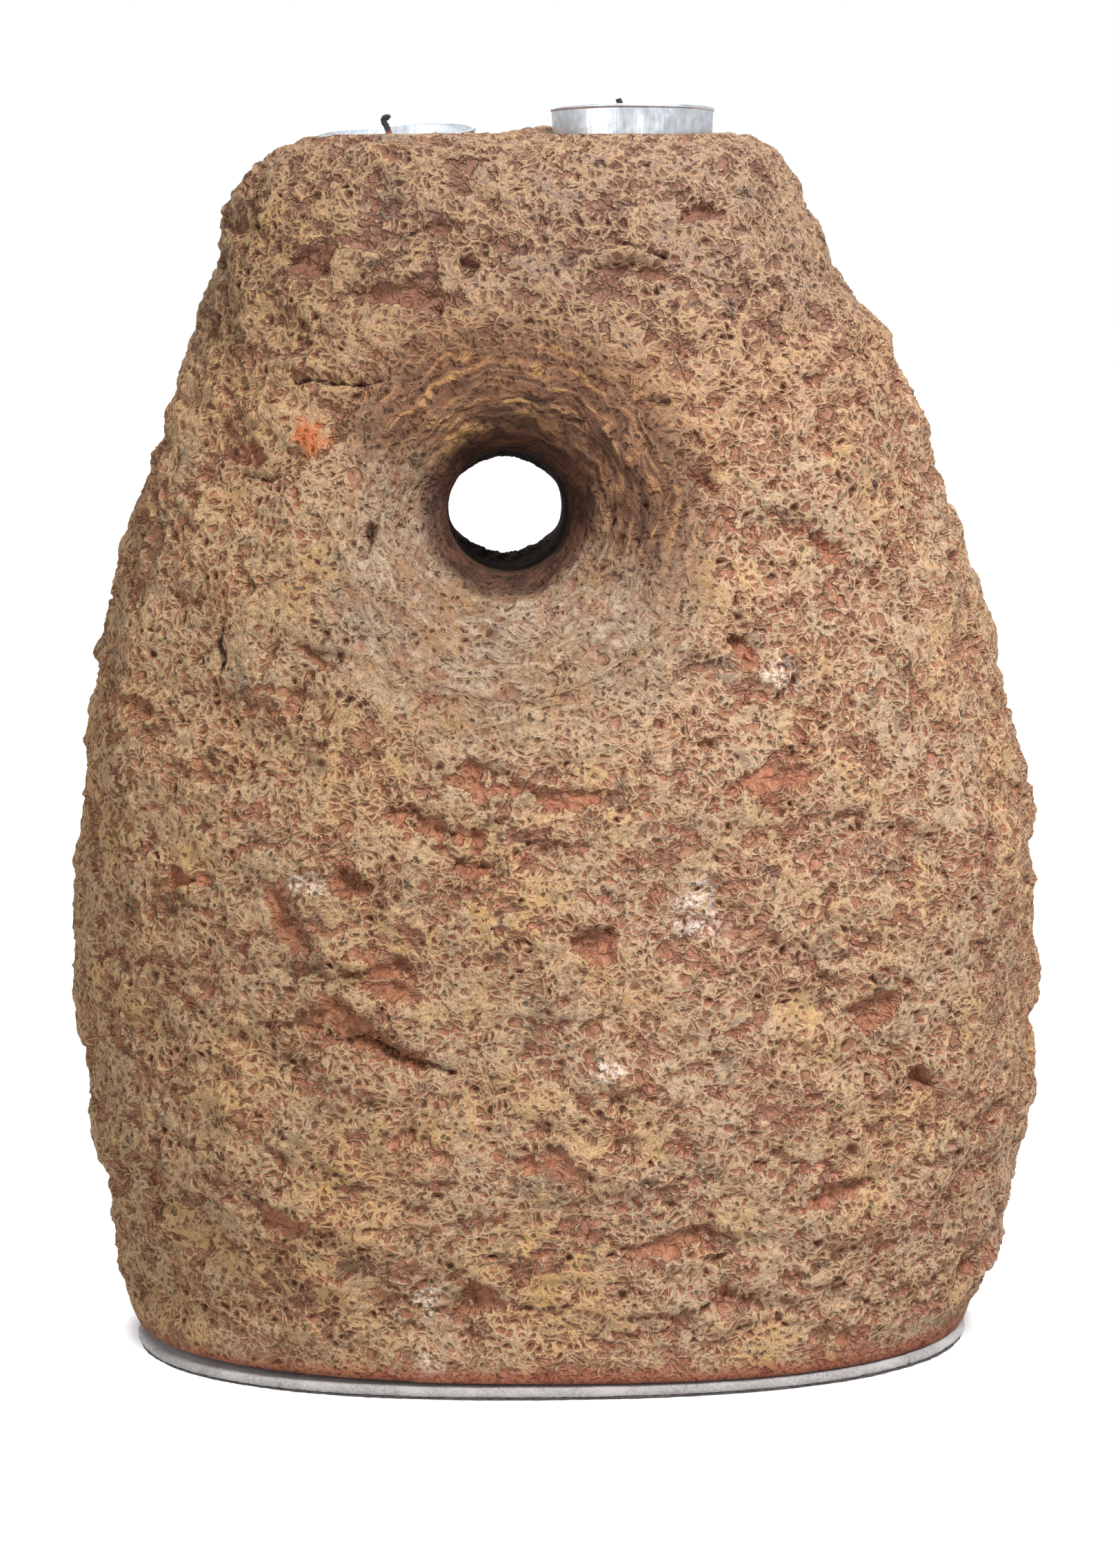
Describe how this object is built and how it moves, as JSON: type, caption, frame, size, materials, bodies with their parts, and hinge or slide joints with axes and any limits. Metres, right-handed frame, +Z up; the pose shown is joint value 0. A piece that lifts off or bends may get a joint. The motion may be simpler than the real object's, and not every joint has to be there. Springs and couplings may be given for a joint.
{
  "type": "tealight holder",
  "caption": "Rock-textured, hand-built ceramic tealight holder with a round hole through its body and a felt-padded foot.",
  "frame": {"origin": "centre of the bounding box's bottom face, on the table under the foot pad", "axes": "+Z up, along the holder's height; the wide face with the funnelled hole looks along -Y; +X is to the right of a viewer who faces it"},
  "size_m": [0.2309, 0.1507, 0.2959],
  "materials": {
    "chamotte": "unglazed red grogged clay under a rough pitted tan slip crust",
    "felt": "pressed silver-grey felt",
    "backing": "thin dark matt backing",
    "glue": "cured dark adhesive",
    "cup_foil": "thin drawn aluminium with fine vertical wrinkles and a rolled rim",
    "wax": "white paraffin wax",
    "wick": "charred braided cotton",
    "tab_metal": "stamped tinplate"
  },
  "bodies": {
    "holder": {"ceramic_body": "chamotte", "felt_pad": "felt", "pad_backing": "backing", "glue_dabs": "glue"},
    "left_tealight": {"left_cup": "cup_foil", "left_wax": "wax", "left_wick": "wick", "left_wick_tab": "tab_metal"},
    "right_tealight": {"right_cup": "cup_foil", "right_wax": "wax", "right_wick": "wick", "right_wick_tab": "tab_metal"}
  },
  "joints": [
    {"name": "left_tealight_lift", "type": "slide", "parent": "holder", "child": "left_tealight", "axis": [-0.0608, -0.0872, 0.9943], "range_m": [0, 0.04]},
    {"name": "right_tealight_lift", "type": "slide", "parent": "holder", "child": "right_tealight", "axis": [0, 0.061, 0.9981], "range_m": [0, 0.04]}
  ]
}
